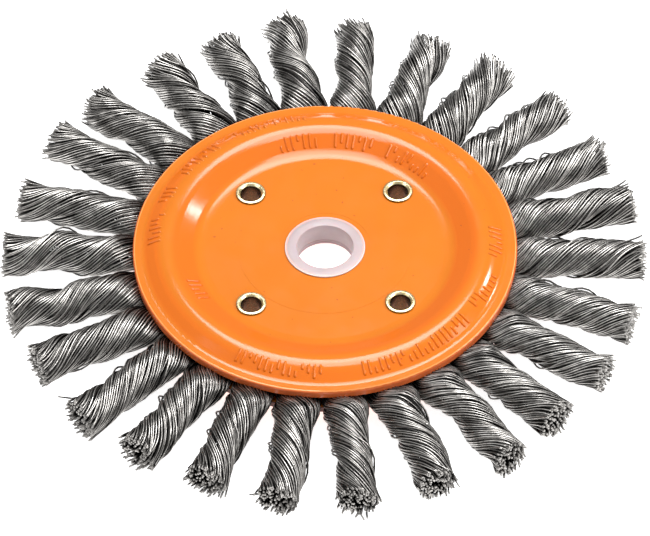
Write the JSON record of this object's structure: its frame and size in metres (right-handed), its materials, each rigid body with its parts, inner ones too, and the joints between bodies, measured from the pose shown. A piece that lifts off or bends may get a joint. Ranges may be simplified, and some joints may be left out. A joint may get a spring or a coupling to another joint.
{
  "type": "twist-knot wire wheel",
  "caption": "Round brush of twisted steel-wire knots clamped between two stamped side plates, with a nylon reducing bushing in its arbor hole, for an angle grinder.",
  "frame": {"origin": "on the arbor axis, midway between the two side plates", "axes": "+Z along the arbor axis, out of the front plate, the side that the bushing's lip is on; +X 1.75 degrees past knot_01, counting round from above"},
  "size_m": [0.1812, 0.1811, 0.0142],
  "materials": {
    "orange_paint": "gloss enamel over pressed steel",
    "knot_wire": "drawn bright wire, slightly oiled",
    "disc_steel": "plain cold-rolled steel",
    "rivet_brass": "brass-plated, rolled ends",
    "bushing_nylon": "natural translucent nylon"
  },
  "bodies": {
    "wheel": {"front_plate": "orange_paint", "rear_plate": "orange_paint", "hub_disc": "disc_steel", "front_spacer": "disc_steel", "rear_spacer": "disc_steel", "hollow_rivets": "rivet_brass", "knot_01": "knot_wire", "knot_02": "knot_wire", "knot_03": "knot_wire", "knot_04": "knot_wire", "knot_05": "knot_wire", "knot_06": "knot_wire", "knot_07": "knot_wire", "knot_08": "knot_wire", "knot_09": "knot_wire", "knot_10": "knot_wire", "knot_11": "knot_wire", "knot_12": "knot_wire", "knot_13": "knot_wire", "knot_14": "knot_wire", "knot_15": "knot_wire", "knot_16": "knot_wire", "knot_17": "knot_wire", "knot_18": "knot_wire", "knot_19": "knot_wire", "knot_20": "knot_wire", "knot_21": "knot_wire", "knot_22": "knot_wire", "knot_23": "knot_wire", "knot_24": "knot_wire", "knot_25": "knot_wire", "knot_26": "knot_wire"},
    "bushing": {"arbor_bushing": "bushing_nylon"}
  },
  "joints": [
    {"name": "bushing_push_out", "type": "slide", "parent": "wheel", "child": "bushing", "axis": [0, 0, 1], "range_m": [0, 0.015]}
  ]
}
